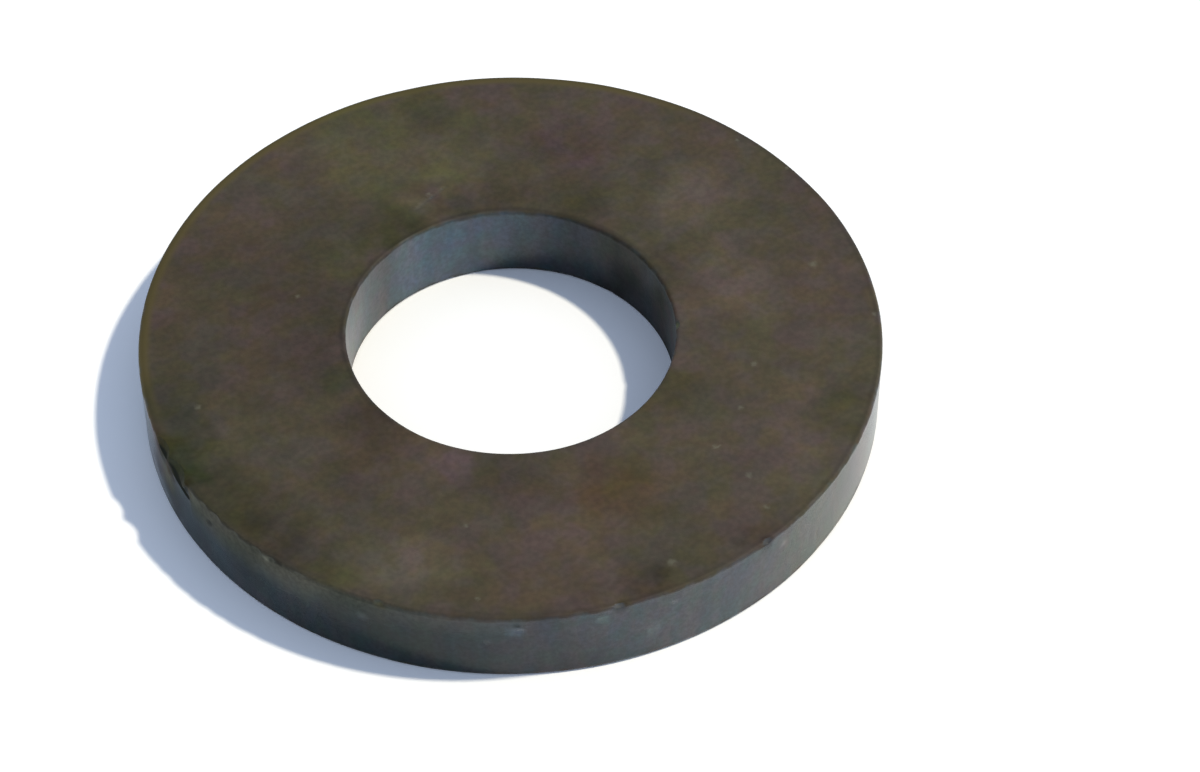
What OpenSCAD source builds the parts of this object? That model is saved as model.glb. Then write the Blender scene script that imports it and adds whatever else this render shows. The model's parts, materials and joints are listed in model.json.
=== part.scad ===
// Ring magnet: a pressed and sintered hard-ferrite ring in one piece.
// Both faces are ground flat. The rim and the bore keep their moulded skin.
// The rim's upper arris carries two flakes with a crack below them, a chipped
// stretch and a few nicks.
// The origin is on the bore's axis at the lower face, with +Z up along the axis.
// Angles are in degrees round the axis, counted from +X towards +Y.

/* [Ring] */
// Outside diameter
outer_d = 72; // [60:0.5:110]
// Diameter of the bore
bore_d = 32; // [16:0.5:44]
// Thickness between the two ground faces
thickness = 8.25; // [5:0.25:20]

/* [Arrises] */
// Rounding of the rim's two arrises
rim_arris_r = 0.4; // [0.1:0.05:1]
// Rounding of the bore's two arrises
bore_arris_r = 0.4; // [0.1:0.05:1]

/* [Flakes] */
// Reach of the larger flake in over the upper face
flake_bite = 0.65; // [0.3:0.05:1]
// Reach of the larger flake down the rim
flake_drop = 1.6; // [0.8:0.05:2.5]
// Radius of the hollow that each flake left
flake_hollow_r = 3.2; // [2.5:0.1:6]

/* [Crack] */
// Angle of the crack's upper end
crack_start = -155.5; // [-159:0.5:-153]
// Angle of the crack's lower end
crack_end = -147; // [-150:0.5:-144]
// Distance of the crack's upper end below the upper face
crack_start_drop = 0.75; // [0.5:0.05:1.5]
// Distance of the crack's lower end below the upper face
crack_end_drop = 1.85; // [1:0.05:3]
// Radius of the crack's open groove
crack_r = 0.35; // [0.25:0.05:0.8]
// Depth of the groove at the crack's two ends
crack_depth = 0.1; // [0.06:0.02:0.2]

/* [Chipped stretch] */
// Reach of the largest chip in over the upper face
chip_bite = 0.24; // [0.2:0.02:0.9]
// Reach of the largest chip down the rim
chip_drop = 1.1; // [0.4:0.05:2]
// Radius of the hollow of each chip
chip_hollow_r = 3; // [2:0.1:6]

/* [Nicks] */
// Radius of the hollow of each nick in the rim
nick_hollow_r = 0.6; // [0.4:0.05:1.2]
// Depth of each nick in the rim
nick_depth = 0.14; // [0.06:0.02:0.3]
// Reach of the nicks in the arrises, in over the upper face and down the wall
arris_nick_reach = 0.45; // [0.3:0.05:1]

/* [Hidden] */

outer_r = outer_d / 2;
bore_r = bore_d / 2;
ferrite = [0.29, 0.27, 0.24];

// Fineness of the round forms
ring_fn = 180;
arris_fn = 32;
hollow_fn = 64;

// Flakes: angle, and shares of the larger one's bite and drop
flakes = [[-156.6, 0.92, 0.62], [-151.5, 1, 1]];
// Chips in the chipped stretch: angle, and size as a share of the largest
chips = [[-143.5, 0.7], [-140.5, 1], [-136, 0.75], [-131.5, 0.9], [-128.5, 0.65], [-123.5, 0.8]];
// Nicks in the rim: angle, and share of the thickness that lies above them
rim_nicks = [[-142.5, 0.27], [-94.5, 0.42], [-89.5, 0.22], [-78, 0.18], [-66.5, 0.22], [-38, 0.7]];
// Angles of the nicks in the rim's upper arris
arris_nicks = [-110.5, -75, -50];
// Angle of the nick in the bore's upper arris
bore_nick = 0.5;
arris_nick_hollow_r = 0.9;

// A hollow of radius r that reaches `bite` in from a corner and `drop` down
// from it. Gives its centre in the corner's plane: [outwards, upwards].
function hollow_centre(bite, drop, r) =
    let (chord = norm([bite, drop]), rise = sqrt(r * r - chord * chord / 4))
    [drop * rise / chord - bite / 2, bite * rise / chord - drop / 2];

// The same centre in space, for the rim's upper arris at the given angle
function rim_hollow(angle, bite, drop, r) =
    let (centre = hollow_centre(bite, drop, r), reach = outer_r + centre[0])
    [reach * cos(angle), reach * sin(angle), thickness + centre[1]];

// Centre of a ball of radius r that dents the rim to this depth, at the given
// angle and distance below the upper face
function rim_dent(angle, drop, depth, r) =
    let (reach = outer_r + r - depth)
    [reach * cos(angle), reach * sin(angle), thickness - drop];

// Section of the ring, with a true arc at each of its four corners
module section() {
    difference() {
        translate([bore_r, 0]) square([outer_r - bore_r, thickness]);
        for (top = [0, 1]) {
            corner_waste(outer_r, top * thickness, -1, 1 - 2 * top, rim_arris_r);
            corner_waste(bore_r, top * thickness, 1, 1 - 2 * top, bore_arris_r);
        }
    }
}

// What a rounding of radius r takes off the corner at [x, y].
// in_x and in_y are the signs of the directions into the section.
module corner_waste(x, y, in_x, in_y, r) {
    translate([x, y]) difference() {
        square(2 * r, center = true);
        translate([in_x * r, in_y * r]) circle(r, $fn = arris_fn);
        translate([in_x * 2 * r, 0]) square([2 * r, 4 * r], center = true);
        translate([0, in_y * 2 * r]) square([4 * r, 2 * r], center = true);
    }
}

// Half the outline of a round-ended bar of this length between its ends' centres
module half_bar_outline(length, r) {
    intersection() {
        translate([0, -r]) square([r, length + 2 * r]);
        union() {
            for (y = [0, length]) translate([0, y]) circle(r, $fn = hollow_fn);
            translate([-r, 0]) square([2 * r, length]);
        }
    }
}

// A round-ended bar of radius r from one point to another
module round_bar(from, to, r) {
    way = to - from;
    translate(from) rotate([0, acos(way[2] / norm(way)), atan2(way[1], way[0])])
        rotate_extrude($fn = hollow_fn) half_bar_outline(norm(way), r);
}

// The two flakes, side by side
module flaking() {
    for (flake = flakes)
        translate(rim_hollow(flake[0], flake[1] * flake_bite, flake[2] * flake_drop, flake_hollow_r))
            sphere(flake_hollow_r, $fn = hollow_fn);
}

// The crack below the flakes, which runs down and along the rim
module crack() {
    round_bar(rim_dent(crack_start, crack_start_drop, crack_depth, crack_r),
        rim_dent(crack_end, crack_end_drop, crack_depth, crack_r), crack_r);
}

// The stretch of smaller chips beside the flakes
module chipped_stretch() {
    for (chip = chips)
        translate(rim_hollow(chip[0], chip[1] * chip_bite, chip[1] * chip_drop, chip_hollow_r))
            sphere(chip_hollow_r, $fn = hollow_fn);
}

module nicks() {
    for (nick = rim_nicks)
        translate(rim_dent(nick[0], nick[1] * thickness, nick_depth, nick_hollow_r))
            sphere(nick_hollow_r, $fn = hollow_fn);
    for (angle = arris_nicks)
        translate(rim_hollow(angle, arris_nick_reach, arris_nick_reach, arris_nick_hollow_r))
            sphere(arris_nick_hollow_r, $fn = hollow_fn);
    centre = hollow_centre(arris_nick_reach, arris_nick_reach, arris_nick_hollow_r);
    rotate([0, 0, bore_nick]) translate([bore_r - centre[0], 0, thickness + centre[1]])
        sphere(arris_nick_hollow_r, $fn = hollow_fn);
}

module ring_magnet() {
    color(ferrite) difference() {
        rotate_extrude($fn = ring_fn) section();
        flaking();
        crack();
        chipped_stretch();
        nicks();
    }
}

ring_magnet();
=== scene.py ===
"""Ring magnet of sintered ferrite, dressed for its studio picture.

Lengths in the named values are millimetres, and angles are degrees round the ring's axis from
+X towards +Y. The mesh is built in metres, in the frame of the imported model.
"""
import json
import math

import bpy
import numpy as np
from mathutils import Matrix, Vector


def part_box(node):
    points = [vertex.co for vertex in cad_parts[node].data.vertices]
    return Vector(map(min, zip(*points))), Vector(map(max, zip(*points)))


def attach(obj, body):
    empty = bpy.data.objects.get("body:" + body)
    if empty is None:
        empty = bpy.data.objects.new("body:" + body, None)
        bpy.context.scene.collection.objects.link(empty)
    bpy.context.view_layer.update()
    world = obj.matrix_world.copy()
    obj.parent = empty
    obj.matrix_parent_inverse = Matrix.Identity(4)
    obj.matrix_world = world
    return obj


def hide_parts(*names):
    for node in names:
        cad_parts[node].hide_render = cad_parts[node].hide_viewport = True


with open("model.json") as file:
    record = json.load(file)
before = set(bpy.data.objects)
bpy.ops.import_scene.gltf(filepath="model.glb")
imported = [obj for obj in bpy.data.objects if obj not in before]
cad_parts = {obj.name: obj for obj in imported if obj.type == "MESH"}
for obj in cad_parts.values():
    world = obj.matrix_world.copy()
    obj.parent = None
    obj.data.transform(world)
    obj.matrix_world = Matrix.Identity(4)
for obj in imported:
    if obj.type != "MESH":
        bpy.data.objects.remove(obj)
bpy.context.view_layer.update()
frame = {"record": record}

MM = 0.001
NODE = "ring_magnet"

# ---------------------------------------------------------------- the ring, from the frame
_, high_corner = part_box(NODE)
OUTER_R = high_corner.x / MM
THICKNESS = high_corner.z / MM
BORE_R = next(m["dims"]["r_mm"] for m in frame["record"]["mounts"] if m["name"] == "bore")

# ---------------------------------------------------------------- arrises
ARRIS_R = 0.34              # the rounding of every arris
ARRIS_WANDER = (0.08, 5.0)  # how much a rounding grows and shrinks, and over what length
SOFT_ARRIS = (-134, -84)    # the rim's upper arris is worn rounder here
SOFT_ARRIS_EXTRA = 0.15
SOFT_ARRIS_SLOPE = 1.6      # how quickly that comes and goes at its two ends

# ---------------------------------------------------------------- damage, as in the solid
# A hollow's size: reach in over the upper face, reach down the wall, and the hollow's radius
FLAKE = dict(bite=0.65, drop=1.6, hollow_r=3.2)
FLAKES = ((-156.6, 0.92, 0.62), (-151.5, 1, 1))     # angle, and shares of the bite and the drop
CRACK = ((-155.5, 0.75), (-147, 1.85))              # its two ends: angle and depth down the wall
CRACK_GROOVE = dict(hollow_r=0.35, depth=0.1)
CHIP = dict(bite=0.24, drop=1.1, hollow_r=3.0)
# Each chip: angle, and its share of the full bite and drop
CHIPS = ((-143.5, 0.7), (-140.5, 1), (-136, 0.75), (-131.5, 0.9), (-128.5, 0.65), (-123.5, 0.8))
RIM_NICK = dict(hollow_r=0.6, depth=0.14)
# Each nick of the rim's wall: angle, and its share of the way down
RIM_NICKS = ((-142.5, 0.27), (-94.5, 0.42), (-89.5, 0.22), (-78, 0.18), (-66.5, 0.22), (-38, 0.7))
ARRIS_NICK = dict(reach=0.45, hollow_r=0.9)
ARRIS_NICKS = (-110.5, -75, -50)    # the angles of those in the rim's upper arris
BORE_NICK = 0.5                     # and of the one in the bore's

# ---------------------------------------------------------------- finer damage and wear
# The seed of each noise, and that of the crumbs
SEEDS = dict(wave=11, grain=12, arris=40, stain=61, worn=71, breaks=91, fine_breaks=92, crumbs=7)
CRUMBS = dict(rim_low=7, bore_low=4)    # how many, sown at random on the lower arrises
CRUMB_ANGLES = (5, 175)                 # towards the back
CRUMB_REACH = (0.25, 0.4)
CRUMB_HOLLOW_R = (0.5, 1.6)
SCRATCH = ((119.3, 19.13), (107.5, 20.84))  # its two ends: angle and radius
SCRATCH_HOLLOW_R = 0.3
SCRATCH_DEPTH = 0.12
SKIN_WAVE = (0.03, 4.0)     # depth and length of the moulded skin's waviness
SKIN_GRAIN = (0.012, 0.7)   # and of its grain
SKIN_START = 0.5            # both grow to their full depth this far from an arris
BREAK_GRAIN = (0.035, 0.8)  # depth and length of a broken surface's roughness
BREAK_FINER = (0.4, 2.5)    # share of a second grain, and how many times finer it is
FRESH_DEPTH = 0.3           # breaks this deep and deeper are palest
CHANGED_DEPTH = 0.12        # this deep, the sound colour is gone
FLAKE_RIM = 0.07            # a flake's colour reaches this far round it, and fades over as much
AS_GROUND = -0.6            # a flake is coloured like the ground face, this far from the arris
AS_SKIN = 0.35              # and any other break like the skin, this far from it
# The rim's upper arris is rubbed down to a dull band between these angles.
# How far the band reaches down the wall is given by angle.
WORN_BAND = (-147.8, -85)
WORN_ENDS = (0.8, 32)       # it comes and goes over these angles
WORN_DOWN = ((-147.8, 3.0), (-128, 2.6), (-118, 1.9), (-95, 1.2))
WORN_DOWN_SOFT = 3.2        # it fades away downwards over this much
WORN_IN = 0.45              # its reach in over the upper face
WORN_IN_SOFT = 0.6
WORN_RAGGED = (1.3, 0.4, 0.2)   # size of its edge's raggedness, and how far that goes down and in

# ---------------------------------------------------------------- stains, painted light and shade, dirt and specks
# Each tint: red, green, blue and gloss
TINTS = dict(plain=(1, 1, 1, 1), blue=(0.84, 1.02, 1.18, 1), teal=(0.85, 1.03, 0.95, 1),
             green=(0.9, 1.05, 0.7, 1), moss=(0.87, 1, 0.95, 1), beige=(1.15, 1, 0.65, 1),
             violet=(1.1, 0.93, 1.25, 1), rose=(1.12, 0.8, 1.05, 1),
             dusty=(1.35, 1, 0.66, 0.42), sooty=(1, 1, 0.95, 0.3))
FADE_REACH = 1.35           # a patch, or the crease's dirt and painted shade, is gone this many sizes from its middle
# How ragged a patch's edge is, over what share of the patch's size, and at least what length
STAIN_RAGGED = (0.45, 0.6, 0.5)
# Each patch: angle, radius, depth below the upper face, size, lightness and tint.
# Those at depth 0 are on the ground face, and the others on a wall.
PATCHES = (
    # broad drift of the ground face
    (-165, 34, 0, 4, 0.84, "moss"), (-142, 34.2, 0, 5, 0.72, "green"),
    (-130, 34.2, 0, 4, 0.75, "plain"), (-70, 34.6, 0, 3, 0.75, "plain"), (-20, 34, 0, 4, 0.78, "green"),
    (-50, 34.8, 0, 2, 0.8, "plain"), (128, 17.5, 0, 3.5, 0.75, "green"),
    (68, 17.5, 0, 4, 0.76, "green"), (-30, 18, 0, 4, 0.8, "green"), (-138, 18, 0, 4, 0.72, "plain"),
    # painted light and shade: the right of the upper face is lighter and the left darker, as the light
    # falls
    (-20, 27, 0, 17, 1.1, "plain"), (175, 27, 0, 15, 0.9, "plain"), (118, 30, 0, 7, 1.15, "green"),
    (103, 24, 0, 3.5, 1.25, "green"), (43, 24.5, 0, 5, 1.3, "plain"), (14, 23, 0, 5, 1.2, "plain"),
    (-109, 31.6, 0, 4.5, 1.35, "plain"), (-110, 18.4, 0, 2.5, 1.2, "violet"),
    (-156, 31.5, 0, 4, 1.1, "plain"), (-25, 33, 0, 5, 1.12, "plain"), (-80, 27, 0, 6, 1.1, "plain"),
    (105, 32.5, 0, 3, 0.88, "green"), (76, 26, 0, 4, 0.85, "violet"), (166, 21.5, 0, 5, 0.86, "plain"),
    (-126, 23, 0, 4, 0.88, "plain"), (-63, 23, 0, 4, 0.88, "beige"), (-67, 33.5, 0, 1.2, 0.7, "plain"),
    (-157.5, 34.6, 0, 2.4, 0.86, "plain"), (-153, 34.4, 0, 3.4, 0.9, "moss"),
    (-149, 34.8, 0, 1.8, 0.9, "moss"), (-152, 34, 0, 2, 0.92, "plain"),
    (-125, 34.3, 0, 3.2, 0.88, "moss"), (-119, 35, 0, 2.2, 0.88, "green"),
    (-167, 19, 0, 4, 0.86, "plain"), (92, 18.5, 0, 3, 0.8, "plain"), (-90, 19, 0, 4, 0.88, "plain"),
    (180, 18.5, 0, 3, 0.88, "plain"), (178, 17.2, 0, 1.5, 0.86, "plain"),
    (105, 17.4, 0, 2, 0.85, "teal"), (120, 19.2, 0, 1.8, 1.35, "plain"),
    (121, 17.2, 0, 1.2, 0.86, "plain"), (135, 16.9, 0, 1.2, 0.84, "green"),
    (152, 18.3, 0, 2.2, 1.1, "green"), (-160, 17.5, 0, 2.4, 0.82, "teal"),
    (-45, 17.3, 0, 1.8, 0.9, "moss"), (30, 17.8, 0, 2.2, 0.84, "plain"),
    # broad drift of the walls, with painted light and shade where said
    (-143, 36, 4, 9, 0.54, "teal"), (-123, 36, 4, 9, 0.62, "teal"), (-107, 36, 4, 7, 0.65, "teal"),
    # painted reflection: the rim's wall at -171 degrees, seen edge-on, is lighter
    (-171, 36, 4, 8, 2, "plain"), (-160, 36, 3.5, 4.5, 0.95, "dusty"),
    (-157.5, 36, 0.9, 1.5, 0.6, "dusty"), (-154, 36, 1.4, 1.2, 0.65, "dusty"),
    (-155.5, 36, 3.8, 2.1, 2, "dusty"), (-161, 36, 5.2, 2, 0.7, "plain"),
    (-149, 36, 5, 5, 0.75, "teal"), (-60, 36, 4, 13, 1.3, "plain"), (-30, 36, 5, 9, 1.25, "beige"),
    # painted sheen: the sunlit rim's wall at -4 degrees is lighter
    (-4, 36, 4, 11, 2.1, "plain"), (-25, 36, 3.5, 4, 1, "rose"), (-12, 36, 0.8, 1.6, 0.7, "plain"),
    (110, 16, 4, 7.5, 1.8, "blue"), (88, 16, 4, 4, 1.2, "plain"), (73, 16, 4, 5, 0.88, "blue"),
    # painted light: the bore's sunlit wall is lighter at 148 degrees
    (148, 16, 4, 8, 1.4, "plain"), (118, 16, 5, 5, 1.1, "blue"), (177, 16, 1, 1.6, 1.25, "plain"),
    (50, 16, 4, 9, 0.85, "plain"), (42, 16, 1.5, 5, 0.62, "beige"), (10, 16, 4, 7, 0.8, "dusty"),
    # painted light on the bore's sunlit wall at 180 degrees, and painted shade low in the bore at 35
    # degrees, where it looks away from the sun
    (180, 16, 4.5, 6, 1.6, "plain"), (35, 16, 7, 5, 0.62, "plain"),
    # the flakes' faces, and the rim just beyond them
    (-152.5, 35.8, 0, 2.4, 1.05, "moss"), (-154, 35.6, 0, 3.4, 1, "sooty"),
    (-149.6, 35.7, 0, 1.2, 0.95, "sooty"), (-149.5, 36, 0.5, 0.9, 0.95, "sooty"),
    (-146, 36, 1, 1, 1.3, "plain"), (-148.9, 36, 0.6, 1.1, 1.3, "dusty"),
    (-148.9, 36, 0.6, 1.1, 0.9, "sooty"),
    # spots and nicks
    (-142, 36, 2, 0.4, 0.4, "plain"), (-129.5, 36, 0.5, 0.4, 1.9, "plain"),
    (-127.5, 36, 0.1, 0.5, 0.6, "plain"), (-113, 36, 2.7, 0.6, 1.5, "plain"),
    (-110, 36, 0.3, 0.5, 1, "beige"), (-94.3, 36, 3.5, 0.5, 1.2, "plain"),
    (-90, 36, 1.9, 0.8, 1.4, "blue"), (-90, 36, 1.1, 0.3, 0.5, "plain"),
    (-77.8, 36, 1.4, 0.55, 1.5, "teal"), (-74.9, 36, 0.4, 0.7, 0.75, "plain"),
    (-74.9, 35.8, 0, 0.5, 0.7, "plain"), (-69.4, 36, 4.7, 0.8, 1.4, "plain"),
    (-66.4, 36, 1.9, 0.4, 1.5, "plain"), (-50, 36, 0.5, 0.8, 0.6, "plain"),
    (-50, 35.7, 0, 0.6, 0.6, "plain"), (-46.4, 36, 2.1, 0.4, 1.6, "plain"),
    (-37.2, 36, 5.9, 0.5, 1.1, "plain"), (0.5, 16, 0.3, 0.5, 1.4, "green"),
)
# The dirt and painted shade along the crack and the lower edge of the flakes: angle, depth and half its
# width
CREASE = ((-158, 0.8, 0.2), (-157, 0.8, 0.22), (-155, 0.66, 0.32), (-153, 0.98, 0.28),
          (-151.7, 1.42, 0.33), (-150.4, 1.55, 0.36), (-149.1, 1.75, 0.36), (-148, 1.86, 0.3))
# Pale specks on the upper face: angle, radius, size
SPECKS = (
    (-162.5, 31.3, 0.3), (166.6, 21.3, 0.28), (14.8, 30.9, 0.42), (1.5, 35.4, 0.26),
    (-12.7, 23.9, 0.3), (-26.7, 24.3, 0.3), (-40, 24.7, 0.26), (-39.4, 24.9, 0.2),
    (-41.6, 29.3, 0.3), (-45.2, 33, 0.3), (-96, 33.7, 0.2), (-100.4, 25.2, 0.24),
    (37.3, 35.5, 0.2), (47.6, 34.9, 0.2), (-64.4, 33, 0.4), (113, 20.4, 0.24),
)

# ---------------------------------------------------------------- mesh
ARC_STEPS = dict(rim_top=6, rim_low=4, bore_low=4, bore_top=5)
# Spacing of the columns from each angle on: finest at the flakes, then the chips and the scratch
COLUMN_STEPS = ((-180, 0.5), (-160.5, 0.18), (-146, 0.27), (-118, 0.44), (0, 0.75),
                (106, 0.4), (121, 0.75))
# Spacing of the rows: at an arris, at most, and its growth with the distance from the arris
ROW_STEPS = dict(fine=0.17, coarse=1.1, growth=0.36)
LOWER_ROW_STEPS = dict(fine=0.17, coarse=2.5, growth=0.6)
# How far the rows stay fine from the start and from the end of each stretch
FINE_ENDS = dict(upper=(0.5, 1.1), rim=(2.2, 0.3), lower=(0.2, 0.2), bore=(0.3, 0.7))
FINE_RADII = (19.0, 21.0)   # and between these on the upper face, over the scratch
NOISE_PERIOD = 48           # the noise repeats after this many cells
CORE_IN = 2.6               # the cores lie this far inside the walls and the faces
CARVE_STEPS = 40            # carving takes at most so many steps
CARVE_NEAR = 1e-4           # and ends this near a break's surface
CREASE_NEAR = (0.2, 0.05)   # the crease's dirt and painted shade stay this near the rim's wall, and this far below the face
SHARP_ANGLE = 38            # edges turning by more than this are shaded sharp


def graded(start, end, step_at):
    """Points from start up to but not including end, spaced by step_at(point) and fitted to end."""
    points = [start]
    while points[-1] < end:
        points.append(points[-1] + step_at(points[-1]))
    points = np.array(points)
    return start + (points[:-1] - start) * (end - start) / (points[-1] - start)


def column_step(angle):
    """Spacing of the mesh's columns at an angle, in degrees."""
    return [step for start, step in COLUMN_STEPS if start <= angle][-1]


def row_shares(length, fine_ends, steps=ROW_STEPS, dense=None):
    """Where rows lie along a stretch, from 0 to 1: close at its ends and over dense, else wide."""
    def step(at):
        clear = max(0, min(at - fine_ends[0], length - at - fine_ends[1]))
        if dense:
            clear = min(clear, max(0, dense[0] - at, at - dense[1]))
        return min(steps["coarse"], steps["fine"] + steps["growth"] * clear)
    return graded(0, length, step) / length


def smooth_noise(points, cell, seed):
    """Value noise from -1 to 1 at the points, with features about one cell across."""
    lattice = np.random.default_rng(seed).uniform(-1, 1, (NOISE_PERIOD,) * 3)
    scaled = points / cell
    base = np.floor(scaled).astype(int)
    blend = scaled - base
    blend = blend * blend * (3 - 2 * blend)
    total = np.zeros(len(points))
    for corner in np.ndindex(2, 2, 2):
        weight = np.prod(np.where(corner, blend, 1 - blend), axis=1)
        i, j, k = ((base + corner) % NOISE_PERIOD).T
        total += weight * lattice[i, j, k]
    return total


def on_ring(angle, radius, height):
    """A point from its angle in degrees, radius and height."""
    turn = np.radians(angle)
    return np.stack(np.broadcast_arrays(radius * np.cos(turn), radius * np.sin(turn), height), -1)


# ---------------------------------------------------------------- the sound ring
def arris_radii(angles):
    """The rounding of each arris at each column."""
    radii = {}
    depth, length = ARRIS_WANDER
    for seed, name in enumerate(ARC_STEPS):
        radius = BORE_R if name.startswith("bore") else OUTER_R
        wander = smooth_noise(on_ring(angles, radius, 0.0), length, SEEDS["arris"] + seed)
        radii[name] = ARRIS_R + depth * wander
    first, last = SOFT_ARRIS
    middle, half = (first + last) / 2, (last - first) / 2
    soft = np.clip(SOFT_ARRIS_SLOPE * (1 - np.abs(angles - middle) / half), 0, 1)
    radii["rim_top"] = radii["rim_top"] + SOFT_ARRIS_EXTRA * soft
    return radii


def section(angles):
    """Rows round the section: radius, height and signed distance from the nearest arris.

    The distance is negative over the ground faces and positive over the moulded skin.
    """
    a = arris_radii(angles)
    rows = []

    def arc(name, core_sign, from_turn, to_turn, low):
        """A rounded arris, from one tangent point to the other."""
        corner_r = BORE_R if name.startswith("bore") else OUTER_R
        centre_r = corner_r + core_sign * a[name]
        centre_z = a[name] if low else THICKNESS - a[name]
        for share in np.arange(ARC_STEPS[name]) / ARC_STEPS[name]:
            turn = math.radians(from_turn + share * (to_turn - from_turn))
            upright = abs(math.cos(turn)) - abs(math.sin(turn))
            rows.append((centre_r + a[name] * math.cos(turn), centre_z + a[name] * math.sin(turn),
                         0.5 * a[name] * upright))

    def flat(shares, start, end, height):
        """A ground face, from one radius to another."""
        for share in shares:
            radius = start + share * (end - start)
            reach = np.minimum(np.abs(radius - start), np.abs(end - radius))
            rows.append((radius, height + 0 * angles, -0.5 * ARRIS_R - reach))

    def wall(shares, radius, start, end):
        """A moulded wall, from one height to another."""
        for share in shares:
            height = start + share * (end - start)
            reach = np.minimum(np.abs(height - start), np.abs(end - height))
            rows.append((radius + 0 * angles, height, 0.5 * ARRIS_R + reach))

    width = OUTER_R - BORE_R
    flat(row_shares(width, FINE_ENDS["upper"], dense=[r - BORE_R for r in FINE_RADII]),
         BORE_R + a["bore_top"], OUTER_R - a["rim_top"], THICKNESS)
    arc("rim_top", -1, 90, 0, low=False)
    wall(row_shares(THICKNESS, FINE_ENDS["rim"]), OUTER_R, THICKNESS - a["rim_top"], a["rim_low"])
    arc("rim_low", -1, 0, -90, low=True)
    flat(row_shares(width, FINE_ENDS["lower"], LOWER_ROW_STEPS),
         OUTER_R - a["rim_low"], BORE_R + a["bore_low"], 0)
    arc("bore_low", 1, 270, 180, low=True)
    wall(row_shares(THICKNESS, FINE_ENDS["bore"]), BORE_R, a["bore_low"],
         THICKNESS - a["bore_top"])
    arc("bore_top", 1, 180, 90, low=False)
    return [np.array(part) for part in zip(*rows)]


# ---------------------------------------------------------------- what broke off
def hollow_centre(bite, drop, hollow_r):
    """Centre, from a corner, of a hollow that reaches this far in and down: (outwards, upwards)."""
    chord = math.hypot(bite, drop)
    rise = math.sqrt(hollow_r ** 2 - chord ** 2 / 4)
    return drop * rise / chord - bite / 2, bite * rise / chord - drop / 2


def corner_hollow(corner, angle, bite, drop, hollow_r):
    """Centre of a hollow in one of the four arrises."""
    out, up = hollow_centre(bite, drop, hollow_r)
    radius = BORE_R - out if corner.startswith("bore") else OUTER_R + out
    height = -up if corner.endswith("low") else THICKNESS + up
    return on_ring(angle, radius, height)


def rim_dent(angle, drop, hollow_r, depth):
    """Centre of a ball that dents the rim to this depth, at a distance below the upper face."""
    return on_ring(angle, OUTER_R + hollow_r - depth, THICKNESS - drop)


def break_bars():
    """The round-ended bars that the damage took out: (end, other end, radius)."""
    bars = []

    def bite_out(corner, angle, bite, drop, hollow_r):
        """A ball, as a bar of no length, that takes a bite out of an arris."""
        centre = corner_hollow(corner, angle, bite, drop, hollow_r)
        bars.append((centre, centre, hollow_r))

    for angle, bite_share, drop_share in FLAKES:
        bite_out("rim_top", angle, bite_share * FLAKE["bite"], drop_share * FLAKE["drop"],
                 FLAKE["hollow_r"])
    crack_ends = [rim_dent(angle, drop, **CRACK_GROOVE) for angle, drop in CRACK]
    bars.append((*crack_ends, CRACK_GROOVE["hollow_r"]))
    for angle, share in CHIPS:
        bite_out("rim_top", angle, share * CHIP["bite"], share * CHIP["drop"], CHIP["hollow_r"])
    for angle, share in RIM_NICKS:
        centre = rim_dent(angle, share * THICKNESS, **RIM_NICK)
        bars.append((centre, centre, RIM_NICK["hollow_r"]))
    for corner, angle in [("rim_top", n) for n in ARRIS_NICKS] + [("bore_top", BORE_NICK)]:
        bite_out(corner, angle, ARRIS_NICK["reach"], ARRIS_NICK["reach"], ARRIS_NICK["hollow_r"])
    scratch_z = THICKNESS + SCRATCH_HOLLOW_R - SCRATCH_DEPTH
    bars.append((*[on_ring(angle, r, scratch_z) for angle, r in SCRATCH], SCRATCH_HOLLOW_R))
    dice = np.random.default_rng(SEEDS["crumbs"])
    for corner, count in CRUMBS.items():
        for _ in range(count):
            angle = dice.uniform(*CRUMB_ANGLES)
            bite, drop = dice.uniform(*CRUMB_REACH, 2)
            hollow_r = dice.uniform(*CRUMB_HOLLOW_R)
            bite_out(corner, angle, bite, drop, hollow_r)
    return bars


def depth_inside(points, bars, grown):
    """How deep each point lies inside the bars, when they are grown by this much."""
    deepest = np.full(len(points), -1e9)
    for start, end, radius in bars:
        along = end - start
        share = np.clip((points - start) @ along / max(along @ along, 1e-9), 0, 1)
        gap = np.linalg.norm(points - start - share[:, None] * along, axis=1)
        deepest = np.maximum(deepest, radius - gap)
    return deepest + grown


def carve(points, cores, bars):
    """Moves the points that lie inside the bars towards their cores, until they are outside."""
    depth, cell = BREAK_GRAIN
    share, finer = BREAK_FINER
    coarse = smooth_noise(points, cell, SEEDS["breaks"])
    rough = depth * (coarse + share * smooth_noise(points, cell / finer, SEEDS["fine_breaks"]) - 1)
    way = cores - points
    way /= np.linalg.norm(way, axis=1)[:, None]
    moved = np.zeros(len(points))
    still = np.arange(len(points))
    for _ in range(CARVE_STEPS):
        here = points[still] + moved[still, None] * way[still]
        inside = depth_inside(here, bars, rough[still])
        deep = inside > CARVE_NEAR
        still, inside = still[deep], inside[deep]
        moved[still] += inside
    return points + moved[:, None] * way, moved


def fade(distance, size):
    """1 at the middle of a patch, falling smoothly to 0 a little beyond its size."""
    share = np.clip(FADE_REACH - distance / size, 0, 1)
    return share * share * (3 - 2 * share)


def stain_colours(points, from_arris):
    """What the patches multiply the surface's colour (red, green, blue) and gloss by."""
    stain = np.ones((len(points), 4))
    on_wall = np.clip(0.5 + from_arris / ARRIS_R, 0, 1)
    amount, cell_share, least_cell = STAIN_RAGGED
    for angle, radius, depth, size, lightness, tint in PATCHES:
        cell = max(least_cell, cell_share * size)
        ragged = 1 + amount * smooth_noise(points, cell, SEEDS["stain"])
        gap = np.linalg.norm(points - on_ring(angle, radius, THICKNESS - depth), axis=1)
        share = fade(gap * ragged, size) * (on_wall if depth else 1 - on_wall)
        stain *= 1 + share[:, None] * (lightness * np.array(TINTS[tint]) - 1)
    return stain


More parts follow.
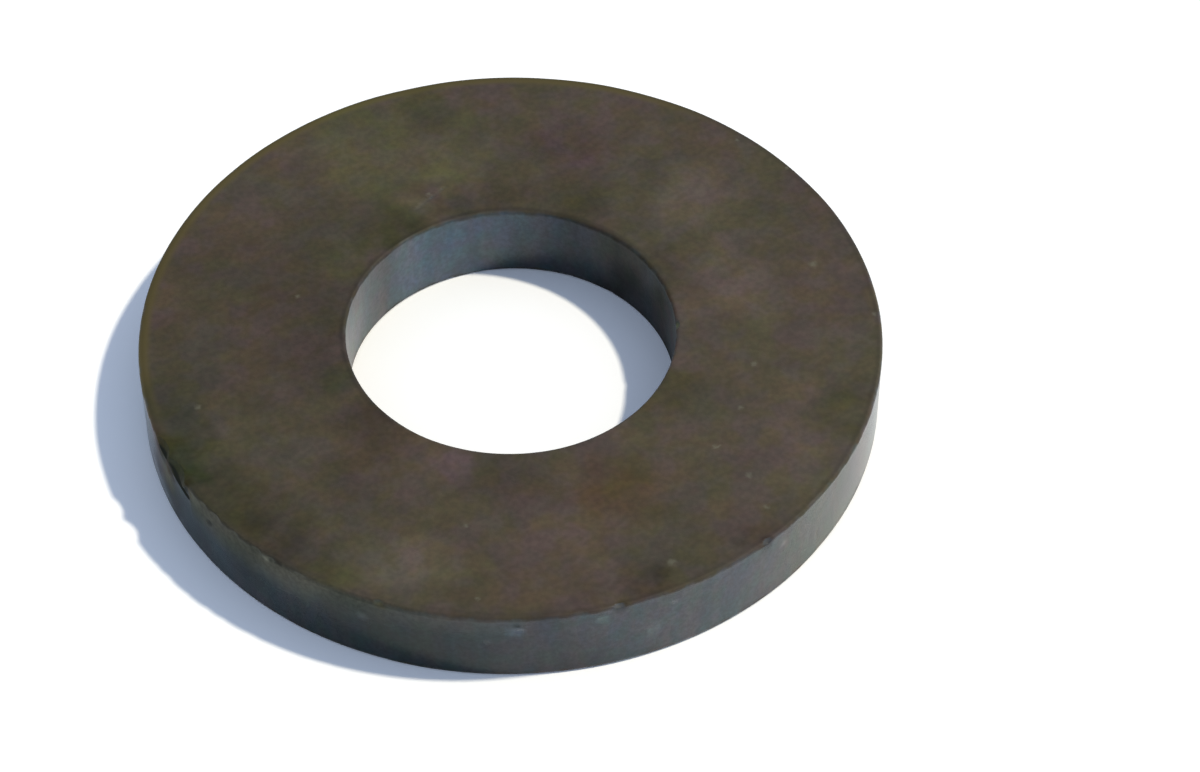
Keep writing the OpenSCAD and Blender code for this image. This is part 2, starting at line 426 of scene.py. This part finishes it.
def crease_share(turns, heights):
    """How near each point is to the crease under the flakes, from 0 to 1."""
    here = np.stack([np.radians(turns) * OUTER_R, heights], -1)
    knots = [(np.array([math.radians(angle) * OUTER_R, THICKNESS - depth]), half)
             for angle, depth, half in CREASE]
    nearest = np.full(len(here), 1e9)
    for (start, start_half), (end, end_half) in zip(knots, knots[1:]):
        along = end - start
        share = np.clip((here - start) @ along / (along @ along), 0, 1)
        gap = np.linalg.norm(here - start - share[:, None] * along, axis=1)
        nearest = np.minimum(nearest, gap / (start_half + share * (end_half - start_half)))
    return fade(nearest, 1)


def worn_share(turns, points):
    """How rubbed each point is, from 0 to 1, in the band over the rim's upper arris."""
    cell, ragged_down, ragged_in = WORN_RAGGED
    ragged = smooth_noise(points, cell, SEEDS["worn"])
    first, last = WORN_BAND
    start, end = WORN_ENDS
    along = np.clip((turns - first) / start, 0, 1) * np.clip((last - turns) / end, 0, 1)
    down = np.interp(turns, *zip(*WORN_DOWN)) - THICKNESS + points[:, 2] + ragged_down * ragged
    down = np.clip(0.5 + down / WORN_DOWN_SOFT, 0, 1)
    inward = np.hypot(points[:, 0], points[:, 1]) - OUTER_R + WORN_IN + ragged_in * ragged
    inward = np.clip(0.5 + inward / WORN_IN_SOFT, 0, 1)
    return along * down * inward


# ---------------------------------------------------------------- the mesh
def ring_mesh():
    """The worn ring as one closed mesh of rows and columns."""
    angles = graded(-180, 180, column_step)
    radii, heights, from_arris = section(angles)
    points = on_ring(angles[None, :], radii, heights)
    row_count, column_count = radii.shape
    flat_points = points.reshape(-1, 3)
    turns = np.tile(angles, row_count)
    radii, heights, from_arris = radii.ravel(), heights.ravel(), from_arris.ravel()

    # The moulded walls are a little wavy and grainy, always inwards
    skin = np.clip(from_arris / SKIN_START, 0, 1)
    on_rim = radii > (OUTER_R + BORE_R) / 2
    inward = np.where(on_rim, -1.0, 1.0)
    wave = SKIN_WAVE[0] * (1 + smooth_noise(flat_points, SKIN_WAVE[1], SEEDS["wave"])) / 2
    grain = SKIN_GRAIN[0] * (1 + smooth_noise(flat_points, SKIN_GRAIN[1], SEEDS["grain"])) / 2
    radii = radii + inward * skin * (wave + grain)
    flat_points = on_ring(turns, radii, heights)

    # Each point is carved towards a core in its own section
    core_r = np.where(on_rim, OUTER_R - CORE_IN, BORE_R + CORE_IN)
    core_z = np.where(heights > THICKNESS / 2, THICKNESS - CORE_IN, CORE_IN)
    cores = on_ring(turns, core_r, core_z)
    bars = break_bars()
    flat_points, moved = carve(flat_points, cores, bars)
    # The flakes' faces have the ground face's colour, and all other breaks the skin's, but paler
    broken = np.clip(moved / FRESH_DEPTH, 0, 1)
    into_flake = depth_inside(flat_points, bars[:len(FLAKES)], FLAKE_RIM)
    in_flake = np.clip(1 + into_flake / FLAKE_RIM, 0, 1)
    chipped = np.clip(moved / CHANGED_DEPTH, 0, 1) * (1 - in_flake)
    from_arris = from_arris + chipped * (np.maximum(from_arris, AS_SKIN) - from_arris)
    from_arris = from_arris + in_flake * (np.minimum(from_arris, AS_GROUND) - from_arris)
    broken = broken * (1 - in_flake)
    near_wall, off_face = CREASE_NEAR
    can_crease = (radii > OUTER_R - near_wall) & (flat_points[:, 2] < THICKNESS - off_face)
    crease = crease_share(turns, flat_points[:, 2]) * can_crease

    rows, columns = np.meshgrid(np.arange(row_count), np.arange(column_count), indexing="ij")
    next_row, next_column = (rows + 1) % row_count, (columns + 1) % column_count
    corners = [(rows, columns), (next_row, columns), (next_row, next_column), (rows, next_column)]
    quads = np.stack([r * column_count + c for r, c in corners], -1).reshape(-1, 4)

    mesh = bpy.data.meshes.new(NODE + "_worn")
    mesh.from_pydata(flat_points * MM, [], quads.tolist())
    stain = stain_colours(flat_points, from_arris)
    measures = dict(from_arris=from_arris, broken=broken, crease=crease, gloss=stain[:, 3],
                    worn=worn_share(turns, flat_points))
    for name, values in measures.items():
        attribute = mesh.attributes.new(name, "FLOAT", "POINT")
        attribute.data.foreach_set("value", values.astype(np.float32))
    attribute = mesh.attributes.new("stain", "FLOAT_VECTOR", "POINT")
    attribute.data.foreach_set("vector", stain[:, :3].astype(np.float32).ravel())
    mesh.polygons.foreach_set("use_smooth", np.ones(len(quads), bool))
    mesh.set_sharp_from_angle(angle=math.radians(SHARP_ANGLE))
    mesh.validate()
    mesh.update()
    return mesh


# ---------------------------------------------------------------- materials
class Graph:
    """A short way to write a node tree."""

    def __init__(self, tree):
        self.tree = tree
        tree.nodes.clear()

    def add(self, kind, inputs=(), output=0, **settings):
        """Adds a node, sets its settings and inputs, and returns one of its outputs."""
        node = self.tree.nodes.new(kind)
        for name, value in settings.items():
            setattr(node, name, value)
        for socket, value in dict(inputs).items():
            if isinstance(value, bpy.types.NodeSocket):
                self.tree.links.new(value, node.inputs[socket])
            else:
                node.inputs[socket].default_value = value
        return node.outputs[output] if node.outputs else None

    def math(self, operation, a, b, clamp=False):
        """One operation on two numbers."""
        return self.add("ShaderNodeMath", {0: a, 1: b}, operation=operation, use_clamp=clamp)

    def ramp(self, value, low, high, to_low=0.0, to_high=1.0, smooth=True):
        """Maps value from low..high to to_low..to_high."""
        kind = "SMOOTHSTEP" if smooth else "LINEAR"
        ends = {0: value, 1: low, 2: high, 3: to_low, 4: to_high}
        return self.add("ShaderNodeMapRange", ends, interpolation_type=kind)

    def mix(self, share, a, b, blend="MIX"):
        """Mixes two colours."""
        return self.add("ShaderNodeMix", {0: share, 6: a, 7: b}, output=2,
                        data_type="RGBA", blend_type=blend)

    def times(self, a, b):
        """Multiplies two colours."""
        return self.mix(1.0, a, b, blend="MULTIPLY")

    def scale(self, colour, amount):
        """Multiplies a colour by a number."""
        grey = self.add("ShaderNodeCombineColor", {0: amount, 1: amount, 2: amount})
        return self.times(colour, grey)

    def noise(self, where, feature_mm, detail, rough=0.55, distort=0.0):
        """Noise from 0 to 1 with features of about this size."""
        return self.add("ShaderNodeTexNoise", {"Vector": where, "Scale": 1 / (feature_mm * MM),
                        "Detail": detail, "Roughness": rough, "Distortion": distort})

    def vary(self, where, feature_mm, detail, spread, rough=0.55, distort=0.0, centre=1.0):
        """Noise that swings by spread round centre."""
        noise = self.noise(where, feature_mm, detail, rough, distort)
        return self.ramp(noise, *NOISE_SWING, centre - spread, centre + spread)

    def drift(self, where, feature_mm, detail, softness, a, b):
        """Two colours that drift into each other, in patches of about this size."""
        noise = self.noise(where, feature_mm, detail)
        return self.mix(self.ramp(noise, 0.5 - softness, 0.5 + softness), a, b)

    def attribute(self, name):
        """One of the measures that the mesh carries."""
        return self.add("ShaderNodeAttribute", output="Fac", attribute_name=name)


def rgb(r, g, b):
    """A colour, without transparency."""
    return (r, g, b, 1.0)


NOISE_SWING = (0.3, 0.7)    # varying noise is cut off at these
# Colours
GROUND_BROWN = rgb(0.060, 0.041, 0.024)
GROUND_OLIVE = rgb(0.050, 0.041, 0.020)
SKIN_BLUE = rgb(0.026, 0.036, 0.043)
SKIN_GREY = rgb(0.040, 0.040, 0.037)
BREAK_GREY = rgb(0.105, 0.10, 0.082)
WORN_FACE = rgb(0.056, 0.043, 0.028)
WORN_WALL = rgb(0.165, 0.125, 0.092)
# painted shade, with some dirt, in the crease under the flakes
CREASE_DIRT_AND_SHADE = rgb(0.019, 0.020, 0.015)
SPECK_PALE = rgb(0.15, 0.145, 0.10)
RIM_YELLOW = rgb(0.078, 0.058, 0.013)   # the rim's edge towards the back
# Two pairs of tints that mottle the ground faces, and one for the skin
GROUND_YELLOW = rgb(1.02, 1.015, 0.86)
GROUND_VIOLET = rgb(1.02, 0.985, 1.32)
GROUND_RUST = rgb(1.03, 0.98, 1.0)
GROUND_MOSS = rgb(0.97, 1.02, 1.0)
SKIN_TEAL = rgb(0.82, 1.07, 0.99)
SKIN_VIOLET = rgb(1.13, 0.95, 1.07)
# Shares of the sound colour that these hide
BREAK_HIDES = 0.7
WORN_HIDES = 0.85
SPECK_HIDES = 0.4
SPECK_SOFT = 1.6            # a speck fades out at this many times its size
SPECK_SHAKE = (0.5, 0.7)    # size and depth of the unevenness of its edge
# Lightness of the ground faces at the arrises, and of the skin by height, which is painted light and
# shade
BORE_EDGE_BACK = 0.64      # at the back
BORE_EDGE_FRONT = 0.95      # and at the front
RIM_EDGE_DARK = 0.78
SKIN_PAINTED_LIGHT = 1.12
SKIN_PAINTED_SHADE = 0.8              # painted shade, low on the walls that look away from the sun
SKIN_HEIGHTS = (0.5, 7)     # it turns from low to high between these heights
BRUSH_TURN = 34             # the way that the ground faces were rubbed, in degrees
BRUSH_STRETCH = 6.0         # the grain is this many times longer that way
STREAK_SQUASH = 0.35        # heights count for only this much in the skin's upright streaks
GROUND_ROUGH = 0.7
SKIN_ROUGH = 0.24
BORE_ROUGH = 0.34
SKIN_IOR = 1.38
SPECULAR = 0.48
SPECULAR_SHADED_LOW = 0.37         # less gloss as painted shade, low on the walls that look away from the sun,
LOW_HEIGHT = 3              # up to this height
GLOSS_MOST = 1.8            # no stain's gloss counts for more than this
CREASE_GLOSS = 0.1          # the share of gloss that the crease's dirt and painted shade leave
BUMP = (0.5, 0.03, 0.3)     # strength, depth and size of the surface's finest grain
FRONT = (0.6, -0.8, 0)      # towards the lighter side of the bore's edge, away from RIM_YELLOW


def ferrite_material():
    """Ground faces, moulded skin, worn arrises and fresh breaks of dark ferrite."""
    material = bpy.data.materials.new("worn_ferrite")
    material.use_nodes = True
    g = Graph(material.node_tree)
    where = g.add("ShaderNodeTexCoord", output="Object")
    from_arris = g.attribute("from_arris")
    flat_place = g.add("ShaderNodeVectorMath", {0: where, 1: (1, 1, 0)}, operation="MULTIPLY")
    radius = g.add("ShaderNodeVectorMath", {0: flat_place}, output=1, operation="LENGTH")
    middle = (OUTER_R + BORE_R) / 2 * MM
    outer = g.ramp(radius, middle - MM, middle + MM)

    # Ground faces: brown drifting to olive, cloudy over a few millimetres, with a fine grain
    ground = g.drift(where, 9, 4, 0.14, GROUND_OLIVE, GROUND_BROWN)
    ground = g.times(ground, g.drift(where, 2.4, 1.5, 0.15, GROUND_YELLOW, GROUND_VIOLET))
    ground = g.times(ground, g.drift(where, 1.5, 2, 0.15, GROUND_RUST, GROUND_MOSS))
    cloud = g.vary(where, 3.5, 4, 0.12, rough=0.5, distort=0.3)
    grain = g.vary(where, 0.6, 2, 0.11, rough=0.5)
    ground = g.scale(ground, g.math("MULTIPLY", cloud, grain))
    brushed = g.add("ShaderNodeMapping", {"Vector": where, "Scale": (BRUSH_STRETCH, 1.0, 1.0),
                    "Rotation": (0, 0, math.radians(BRUSH_TURN))}, vector_type="TEXTURE")
    ground = g.scale(ground, g.vary(brushed, 0.8, 2, 0.045, rough=0.5))
    to_front = g.add("ShaderNodeVectorMath", {0: flat_place, 1: FRONT}, output=1,
                     operation="DOT_PRODUCT")
    to_front = g.math("DIVIDE", to_front, radius)
    rim_glow = g.math("MULTIPLY", g.ramp(to_front, -0.1, -0.6), g.ramp(from_arris, -1.3, -0.3))
    ground = g.mix(g.math("MULTIPLY", rim_glow, outer), ground, RIM_YELLOW)
    # The ground face is darker along the bore's edge, most at the back
    bore_edge = g.ramp(to_front, -0.3, 0.5, BORE_EDGE_BACK, BORE_EDGE_FRONT)
    edge = g.ramp(outer, 0, 1, bore_edge, RIM_EDGE_DARK)
    ground = g.scale(ground, g.ramp(from_arris, -0.7, -0.2, 1, edge))

    # Moulded skin: bluer and glossier, with upright streaks
    upright = g.add("ShaderNodeMapping", {"Vector": where, "Scale": (1.0, 1.0, STREAK_SQUASH)})
    skin = g.drift(upright, 2.2, 4, 0.18, SKIN_BLUE, SKIN_GREY)
    streak = g.vary(upright, 1.6, 3, 0.12)
    skin_grain = g.vary(where, 0.5, 3, 0.2, rough=0.6)
    skin = g.scale(skin, g.math("MULTIPLY", streak, skin_grain))
    skin = g.times(skin, g.drift(where, 2.2, 1.5, 0.15, SKIN_TEAL, SKIN_VIOLET))
    # Painted light and shade: the skin is lighter high up and on the walls that face the sun, and
    # darker towards the floor on the others
    height = g.add("ShaderNodeSeparateXYZ", {0: where}, output=2)
    to_right = g.math("DIVIDE", g.add("ShaderNodeSeparateXYZ", {0: where}), radius)
    lit_side = g.math("MULTIPLY", to_right, g.ramp(outer, 0, 1, -1, 1))
    sunlit_share = g.ramp(lit_side, 0, 0.5)
    low, high = SKIN_HEIGHTS
    painted_shade_low = g.ramp(sunlit_share, 0, 1, SKIN_PAINTED_SHADE, SKIN_PAINTED_LIGHT)
    skin = g.scale(skin, g.ramp(height, low * MM, high * MM, painted_shade_low, SKIN_PAINTED_LIGHT))

    # The two meet near the arris, along an uneven line
    uneven = g.vary(where, 1.6, 3, 0.15, centre=0.0)
    to_skin = g.ramp(g.math("ADD", from_arris, uneven), -0.15, 0.4)
    colour = g.mix(to_skin, ground, skin)
    broken = g.attribute("broken")
    colour = g.mix(g.math("MULTIPLY", broken, BREAK_HIDES), colour, BREAK_GREY)
    worn = g.attribute("worn")
    rubbed = g.mix(g.ramp(from_arris, -0.1, 0.35), WORN_FACE, WORN_WALL)
    rubbed = g.scale(rubbed, g.math("MULTIPLY", cloud, skin_grain))
    colour = g.mix(g.math("MULTIPLY", worn, WORN_HIDES), colour, rubbed)

    # Stains, pale specks, and the dirt and painted shade in the crease
    stain = g.add("ShaderNodeAttribute", output="Vector", attribute_name="stain")
    colour = g.times(colour, stain)
    cell, shake = SPECK_SHAKE
    shaken = g.add("ShaderNodeTexNoise", {"Vector": where, "Scale": 1 / (cell * MM)}, output=1)
    shaken = g.add("ShaderNodeVectorMath", {0: shaken, 1: (0.5, 0.5, 0.5)}, operation="SUBTRACT")
    shaken = g.add("ShaderNodeVectorMath", {0: shaken, 1: (shake * MM,) * 3}, operation="MULTIPLY")
    shaken = g.add("ShaderNodeVectorMath", {0: where, 1: shaken}, operation="ADD")
    speck = 0.0
    for angle, radius, size in SPECKS:
        place = tuple(on_ring(angle, radius, THICKNESS) * MM)
        gap = g.add("ShaderNodeVectorMath", {0: shaken, 1: place}, output=1, operation="DISTANCE")
        speck = g.math("ADD", speck, g.ramp(gap, 0, SPECK_SOFT * size * MM, SPECK_HIDES, 0))
    colour = g.mix(speck, colour, SPECK_PALE)
    crease = g.attribute("crease")
    colour = g.mix(crease, colour, CREASE_DIRT_AND_SHADE)

    # Bump, roughness and gloss
    strength, depth, feature = BUMP
    bump = g.add("ShaderNodeBump", {"Strength": strength, "Distance": depth * MM,
                 "Height": g.noise(where, feature, 4, 0.7)})
    dull = g.ramp(g.attribute("gloss"), 0.1, 0.6, 0.5, 0)
    matte = g.math("MAXIMUM", g.math("MAXIMUM", broken, worn), g.ramp(to_skin, 0, 1, 1, 0))
    matte = g.math("MAXIMUM", g.math("MAXIMUM", matte, dull), crease)
    skin_rough = g.ramp(outer, 0, 1, BORE_ROUGH, SKIN_ROUGH)
    rough = g.ramp(matte, 0, 1, skin_rough, GROUND_ROUGH, smooth=False)
    gloss = g.math("MINIMUM", g.attribute("gloss"), GLOSS_MOST)
    # Painted shade in the gloss too: less of it low on the walls that look away from the sun
    shaded_low_gloss = g.ramp(sunlit_share, 0, 1, SPECULAR_SHADED_LOW, SPECULAR)
    specular = g.ramp(height, 0, LOW_HEIGHT * MM, shaded_low_gloss, SPECULAR)
    specular = g.math("MULTIPLY", specular, g.ramp(crease, 0, 1, 1, CREASE_GLOSS))
    specular = g.math("MULTIPLY", gloss, specular)
    shader = g.add("ShaderNodeBsdfPrincipled", {"Base Color": colour, "Roughness": rough,
                   "IOR": SKIN_IOR, "Specular IOR Level": specular, "Normal": bump})
    g.add("ShaderNodeOutputMaterial", {"Surface": shader})
    return material


# ---------------------------------------------------------------- floor, light and camera
FLOOR_HALF = 1500
FLOOR_COLOUR = rgb(0.82, 0.82, 0.82)
FLOOR_SEEN = rgb(1.1, 1.1, 1.1)   # seen or mirrored, the lit floor is white
SKY_HORIZON = rgb(0.88, 1.05, 1.30)
SKY_ZENITH = rgb(0.31, 0.375, 0.51)
SKY_FALL = 2.0                    # how quickly the one turns into the other, upwards
SKY_SEEN = rgb(1, 1, 1)
SUN_COLOUR = (1.0, 0.93, 0.76)
SUN_STRENGTH = 2.45
SUN_SOFTNESS = 3.5
SUN_AZIMUTH = 6
SUN_ELEVATION = 58.2


def seen_by_camera(g):
    """1 for what the camera sees directly, and 0 for what only lights or mirrors."""
    return g.add("ShaderNodeLightPath", output="Is Camera Ray")


def make_floor():
    """A plain white floor under the ring, which keeps the ring's shadow."""
    mesh = bpy.data.meshes.new("floor")
    side = FLOOR_HALF * MM
    mesh.from_pydata([(-side, -side, 0), (side, -side, 0), (side, side, 0), (-side, side, 0)],
                     [], [(0, 1, 2, 3)])
    floor = bpy.data.objects.new("floor", mesh)
    bpy.context.scene.collection.objects.link(floor)
    material = bpy.data.materials.new("floor_white")
    material.use_nodes = True
    g = Graph(material.node_tree)
    mirrored = g.add("ShaderNodeLightPath", output="Is Glossy Ray")
    seen = g.math("MAXIMUM", seen_by_camera(g), mirrored)
    colour = g.mix(seen, FLOOR_COLOUR, FLOOR_SEEN)
    shader = g.add("ShaderNodeBsdfDiffuse", {"Color": colour})
    g.add("ShaderNodeOutputMaterial", {"Surface": shader})
    mesh.materials.append(material)


def make_light():
    """A soft sun from the right, and a cool even sky that is white behind the floor."""
    sun = bpy.data.lights.new("sun", "SUN")
    sun.energy = SUN_STRENGTH
    sun.color = SUN_COLOUR
    sun.angle = math.radians(SUN_SOFTNESS)
    lamp = bpy.data.objects.new("sun", sun)
    azimuth, elevation = math.radians(SUN_AZIMUTH), math.radians(SUN_ELEVATION)
    towards = Vector((math.cos(elevation) * math.cos(azimuth),
                      math.cos(elevation) * math.sin(azimuth), math.sin(elevation)))
    lamp.rotation_euler = towards.to_track_quat("Z", "Y").to_euler()
    lamp.location = 0.5 * towards
    bpy.context.scene.collection.objects.link(lamp)

    world = bpy.data.worlds.new("sky")
    world.use_nodes = True
    g = Graph(world.node_tree)
    way = g.add("ShaderNodeTexCoord", output="Generated")
    height = g.add("ShaderNodeSeparateXYZ", {0: way}, output=2)
    low = g.math("POWER", g.math("SUBTRACT", 1.0, height, clamp=True), SKY_FALL)
    sky = g.mix(low, SKY_ZENITH, SKY_HORIZON)
    colour = g.mix(seen_by_camera(g), sky, SKY_SEEN)
    shader = g.add("ShaderNodeBackground", {"Color": colour})
    g.add("ShaderNodeOutputWorld", {"Surface": shader})
    bpy.context.scene.world = world


CAMERA_BACK = 236.2         # from the ring's axis
CAMERA_UP = 258.65          # above the floor
CAMERA_PITCH = -47.61
CAMERA_YAW = 2.1
CAMERA_ROLL = 0.34
CAMERA_LENS = 106.5
CAMERA_SENSOR = 36


def make_camera():
    """Looks down on the ring from the front, as steeply as the picture does."""
    camera = bpy.data.cameras.new("camera")
    camera.lens = CAMERA_LENS
    camera.sensor_width = CAMERA_SENSOR
    camera.clip_start = 0.01
    holder = bpy.data.objects.new("camera", camera)
    turn = (Matrix.Rotation(math.radians(-CAMERA_YAW), 4, "Z")
            @ Matrix.Rotation(math.radians(90 + CAMERA_PITCH), 4, "X")
            @ Matrix.Rotation(math.radians(CAMERA_ROLL), 4, "Z"))
    holder.matrix_world = Matrix.Translation((0, -CAMERA_BACK * MM, CAMERA_UP * MM)) @ turn
    bpy.context.scene.collection.objects.link(holder)
    bpy.context.scene.camera = holder


def make_ring():
    """The worn ring, which stands for the plain solid."""
    ring = bpy.data.objects.new("worn_ring", ring_mesh())
    bpy.context.scene.collection.objects.link(ring)
    ring.data.materials.append(ferrite_material())
    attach(ring, "root")
    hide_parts(NODE)


make_camera()
make_light()
make_floor()
make_ring()
bpy.context.scene.view_settings.view_transform = "Standard"
